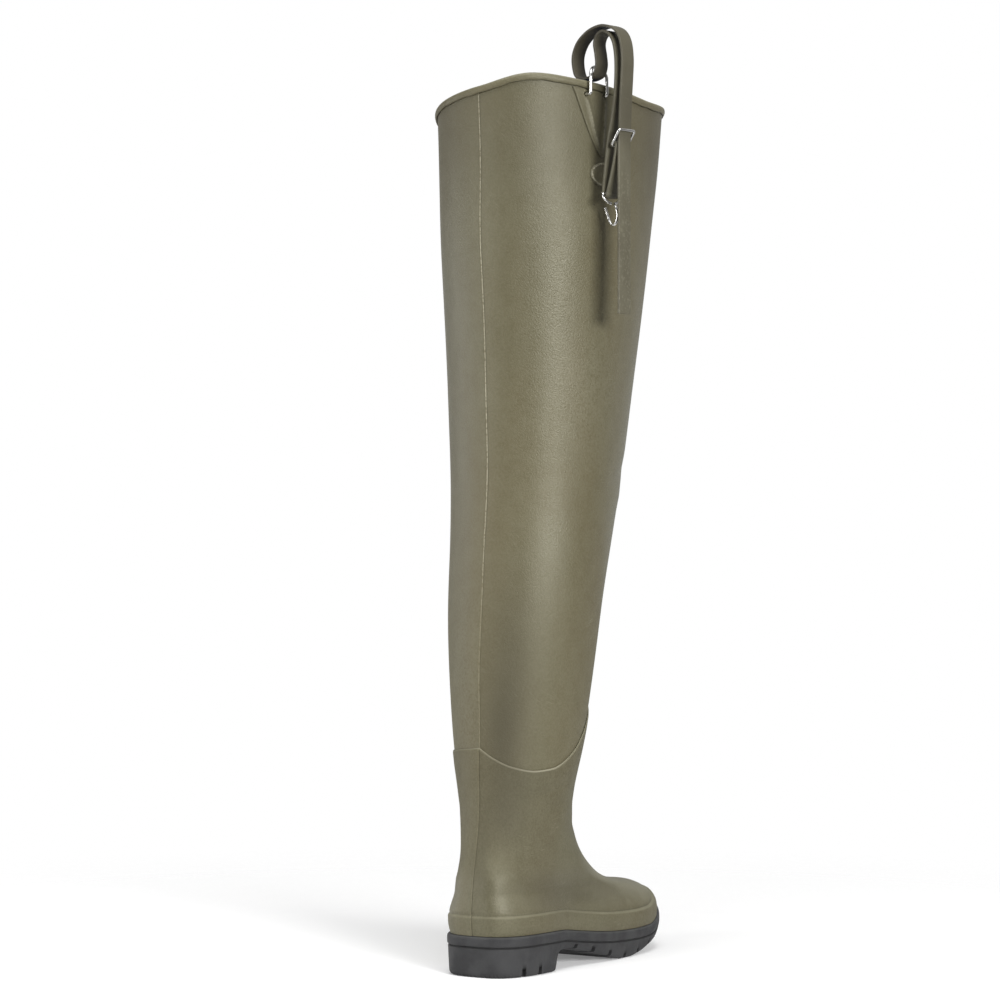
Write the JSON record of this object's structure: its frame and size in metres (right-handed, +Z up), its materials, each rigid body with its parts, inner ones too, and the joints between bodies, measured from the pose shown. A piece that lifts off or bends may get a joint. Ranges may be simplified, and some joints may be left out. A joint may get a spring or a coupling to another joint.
{
  "type": "hip wader",
  "caption": "Rubber hip wader for the right foot: moulded boot on a lugged sole, thigh-high lapped leg, bound rim, and a belt strap with ring, buckle and hook.",
  "frame": {"origin": "on the floor, under the middle of the heel's tread", "axes": "+Y from the heel to the toe, +X to the outer side of the right foot, +Z up the leg"},
  "size_m": [0.2266, 0.3148, 0.882],
  "materials": {
    "olive_rubber": "satin",
    "strap_rubber": "matt",
    "sole_rubber": "matt",
    "lining": "matt knit",
    "bright_wire": "bright plated"
  },
  "bodies": {
    "root": {"outsole": "sole_rubber", "insole": "lining", "boot": "olive_rubber", "leg": "olive_rubber", "rim_binding": "olive_rubber", "strap_patch": "olive_rubber", "badge_blank": "olive_rubber", "strap_ring": "bright_wire", "strap": "strap_rubber", "buckle": "bright_wire"},
    "hook": {"strap_hook": "bright_wire"}
  },
  "joints": [
    {"name": "hook_swing", "type": "hinge", "parent": "root", "child": "hook", "pos_m": [0.10525, 0.02988, 0.7238], "axis": [0.2079, 0.9781, 0], "range_deg": [-14, 46]}
  ]
}
